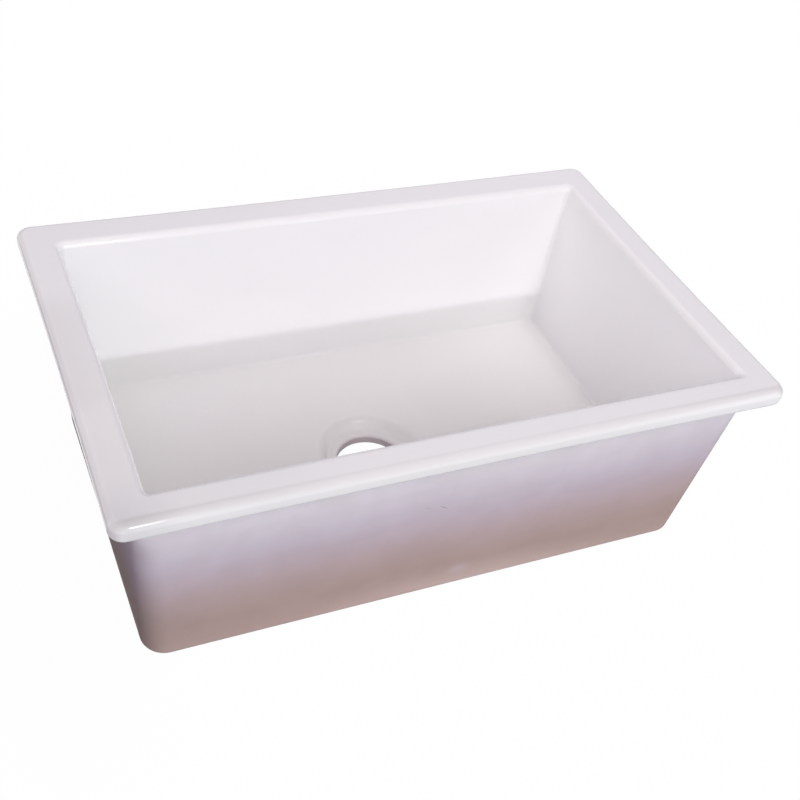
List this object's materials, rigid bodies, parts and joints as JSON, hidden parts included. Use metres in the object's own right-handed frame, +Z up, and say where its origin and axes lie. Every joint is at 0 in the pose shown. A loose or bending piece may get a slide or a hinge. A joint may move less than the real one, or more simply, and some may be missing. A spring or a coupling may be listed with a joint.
{
  "type": "undermount fireclay kitchen sink",
  "caption": "Large single-bowl undermount kitchen sink in fireclay: flat rounded rim, leaning walls, floor falling to a dished waste outlet, white glaze inside and over the rim.",
  "frame": {"origin": "middle of the rim's length and width, on the plane that the base stands on", "axes": "+Z up out of the bowl, +X to the right along the sink's length, +Y to the back, where the rim is widest"},
  "size_m": [0.791, 0.5, 0.27],
  "materials": {
    "fireclay": "matt, fired and unglazed, misted white under the rim",
    "white_glaze": "gloss"
  },
  "bodies": {
    "root": {"fireclay_body": "fireclay", "white_glaze": "white_glaze"}
  },
  "joints": []
}
